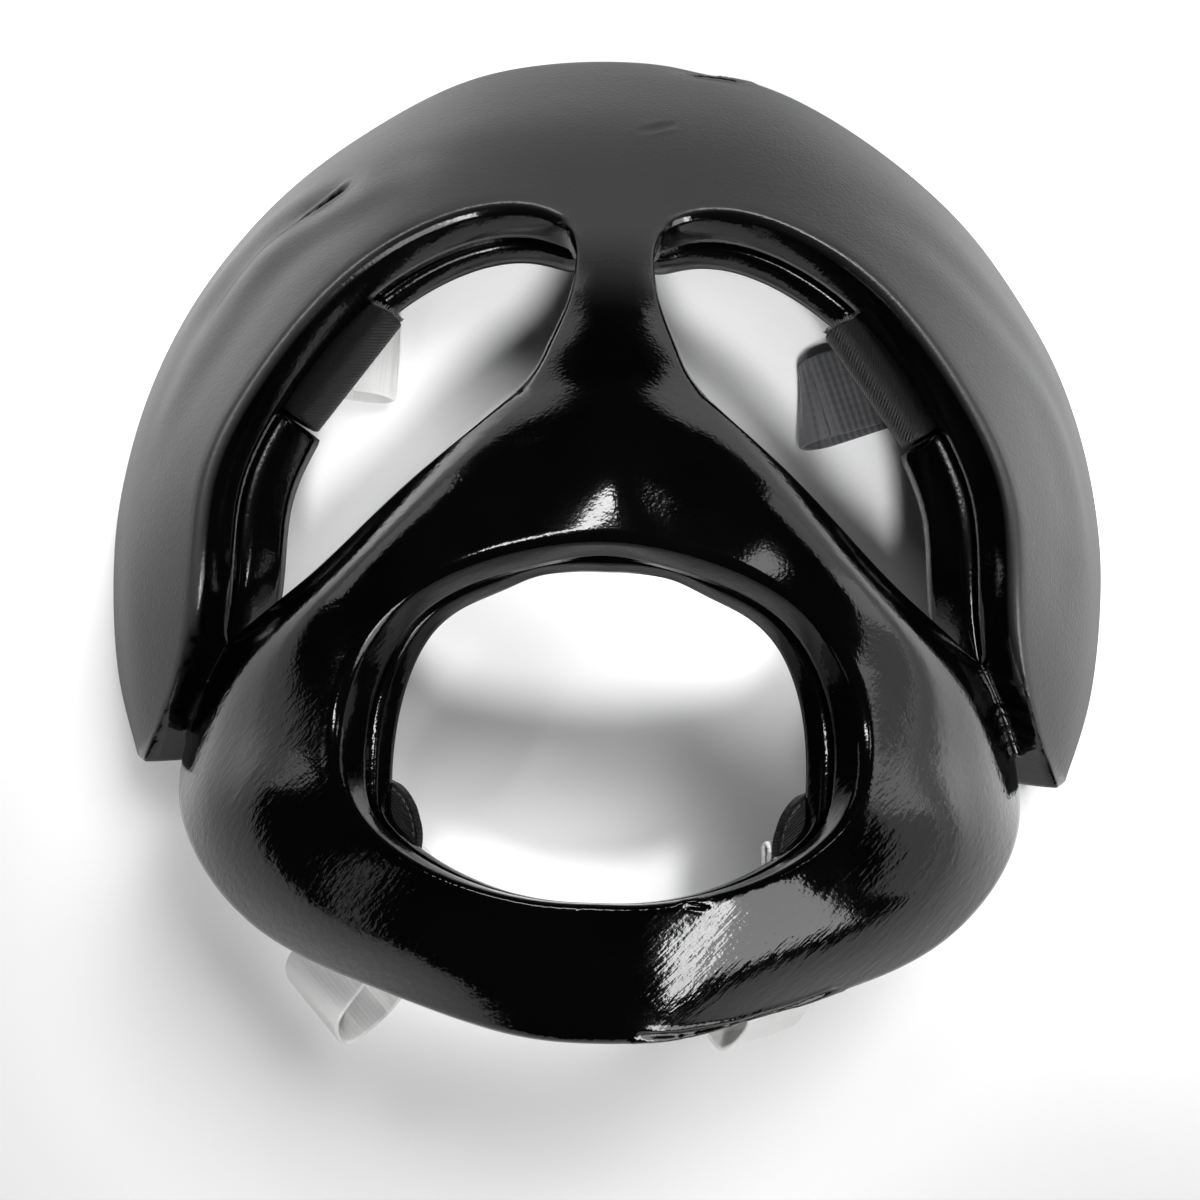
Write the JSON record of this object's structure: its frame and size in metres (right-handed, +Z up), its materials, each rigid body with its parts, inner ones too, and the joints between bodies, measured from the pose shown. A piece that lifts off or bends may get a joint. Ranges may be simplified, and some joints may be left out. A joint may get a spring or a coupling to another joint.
{
  "type": "wrestling face guard",
  "caption": "Dipped-foam wrestling face guard with a wide forehead arch, nose bridge, open mouth ring and short strap loops at temples and cheeks, lying on its back.",
  "frame": {"origin": "middle of the bounding box on the table, under the face hollow", "axes": "+Z up from the table through the mouth hole, +Y from the chin to the top of the forehead, +X to the right as seen from above with the forehead away from the viewer"},
  "size_m": [0.2172, 0.22, 0.0923],
  "materials": {
    "vinyl_shell": "black vinyl skin on foam, satin on the forehead and glossy on nose and chin",
    "vinyl_liner": "black vinyl skin on the inner foam layer, satin to glossy",
    "webbing": "black twill webbing",
    "strap_white": "white napped loop strap",
    "strap_grey": "dark grey ribbed strap"
  },
  "bodies": {
    "root": {"shell": "vinyl_shell", "brow_liner": "vinyl_liner", "muzzle_liner": "vinyl_liner", "temple_pad_right": "vinyl_liner", "temple_pad_left": "vinyl_liner", "temple_tab_right": "webbing", "temple_tab_left": "webbing", "cheek_tab_right": "webbing", "cheek_tab_left": "webbing", "temple_strap_right": "strap_grey", "temple_strap_left": "strap_white", "cheek_strap_right": "strap_white", "cheek_strap_left": "strap_white"}
  },
  "joints": []
}
